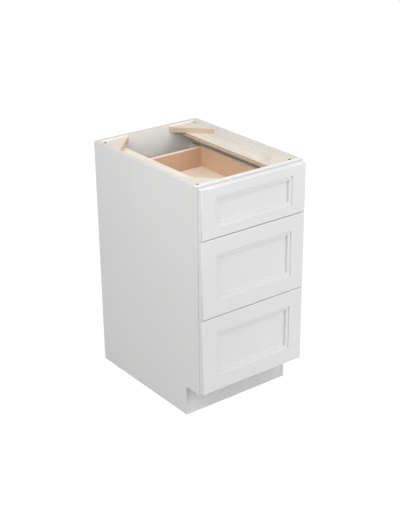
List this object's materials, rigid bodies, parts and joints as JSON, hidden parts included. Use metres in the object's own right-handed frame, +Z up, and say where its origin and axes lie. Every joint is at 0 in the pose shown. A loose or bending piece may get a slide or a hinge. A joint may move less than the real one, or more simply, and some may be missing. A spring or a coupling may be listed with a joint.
{
  "type": "base cabinet with drawers",
  "caption": "Freestanding kitchen base cabinet: face-framed case with a toe recess, plywood corner blocks on top and framed-panel drawers on full-extension side slides.",
  "frame": {"origin": "bottom centre of the whole part's box, on the floor", "axes": "+X to the right seen from the front, +Y towards the wall behind, +Z up; the drawers open along -Y"},
  "size_m": [0.45, 0.6236, 0.8763],
  "materials": {
    "painted_white": "satin white paint on hardwood",
    "panel_white": "white laminate on plywood, bare plywood edges",
    "birch_plywood": "bare birch plywood",
    "drawer_wood": "clear-coated plywood with pale edges",
    "drawer_plywood": "clear-coated plywood",
    "zinc_steel": "zinc-plated rolled steel",
    "screw_steel": "plated steel",
    "bumper_rubber": "soft clear bumper"
  },
  "bodies": {
    "cabinet": {"side_panel_left": "panel_white", "side_panel_right": "panel_white", "back_panel": "panel_white", "bottom_panel": "panel_white", "toe_kick_board": "panel_white", "frame_stile_left": "painted_white", "frame_stile_right": "painted_white", "frame_bottom_rail": "painted_white", "frame_mid_rail_lower": "painted_white", "frame_mid_rail_upper": "painted_white", "frame_top_rail": "painted_white", "stretcher_left": "birch_plywood", "stretcher_right": "birch_plywood", "corner_block_front_left": "birch_plywood", "corner_block_front_right": "birch_plywood", "corner_block_back_left": "birch_plywood", "corner_block_back_right": "birch_plywood", "slide_cleats": "birch_plywood", "slide_cabinet_members": "zinc_steel", "slide_screws": "screw_steel", "front_bumpers": "bumper_rubber"},
    "top_drawer": {"top_front_stile_left": "painted_white", "top_front_stile_right": "painted_white", "top_front_rail_lower": "painted_white", "top_front_rail_upper": "painted_white", "top_front_panel": "painted_white", "top_box_side_left": "drawer_wood", "top_box_side_right": "drawer_wood", "top_box_front": "drawer_wood", "top_box_back": "drawer_wood", "top_box_bottom": "drawer_plywood", "top_slide_drawer_members": "zinc_steel", "top_drawer_screws": "screw_steel"},
    "top_slide": {"top_slide_intermediates": "zinc_steel"},
    "middle_drawer": {"middle_front_stile_left": "painted_white", "middle_front_stile_right": "painted_white", "middle_front_rail_lower": "painted_white", "middle_front_rail_upper": "painted_white", "middle_front_panel": "painted_white", "middle_box_side_left": "drawer_wood", "middle_box_side_right": "drawer_wood", "middle_box_front": "drawer_wood", "middle_box_back": "drawer_wood", "middle_box_bottom": "drawer_plywood", "middle_slide_drawer_members": "zinc_steel", "middle_drawer_screws": "screw_steel"},
    "middle_slide": {"middle_slide_intermediates": "zinc_steel"},
    "bottom_drawer": {"bottom_front_stile_left": "painted_white", "bottom_front_stile_right": "painted_white", "bottom_front_rail_lower": "painted_white", "bottom_front_rail_upper": "painted_white", "bottom_front_panel": "painted_white", "bottom_box_side_left": "drawer_wood", "bottom_box_side_right": "drawer_wood", "bottom_box_front": "drawer_wood", "bottom_box_back": "drawer_wood", "bottom_box_bottom": "drawer_plywood", "bottom_slide_drawer_members": "zinc_steel", "bottom_drawer_screws": "screw_steel"},
    "bottom_slide": {"bottom_slide_intermediates": "zinc_steel"}
  },
  "joints": [
    {"name": "top_drawer_travel", "type": "slide", "parent": "cabinet", "child": "top_drawer", "axis": [0, -1, 0], "range_m": [0, 0.5]},
    {"name": "top_slide_travel", "type": "slide", "parent": "cabinet", "child": "top_slide", "axis": [0, -1, 0], "range_m": [0, 0.25]},
    {"name": "middle_drawer_travel", "type": "slide", "parent": "cabinet", "child": "middle_drawer", "axis": [0, -1, 0], "range_m": [0, 0.5]},
    {"name": "middle_slide_travel", "type": "slide", "parent": "cabinet", "child": "middle_slide", "axis": [0, -1, 0], "range_m": [0, 0.25]},
    {"name": "bottom_drawer_travel", "type": "slide", "parent": "cabinet", "child": "bottom_drawer", "axis": [0, -1, 0], "range_m": [0, 0.5]},
    {"name": "bottom_slide_travel", "type": "slide", "parent": "cabinet", "child": "bottom_slide", "axis": [0, -1, 0], "range_m": [0, 0.25]}
  ],
  "couplings": [
    {"joint": "top_slide_travel", "follows": "top_drawer_travel", "ratio": 0.5},
    {"joint": "middle_slide_travel", "follows": "middle_drawer_travel", "ratio": 0.5},
    {"joint": "bottom_slide_travel", "follows": "bottom_drawer_travel", "ratio": 0.5}
  ]
}
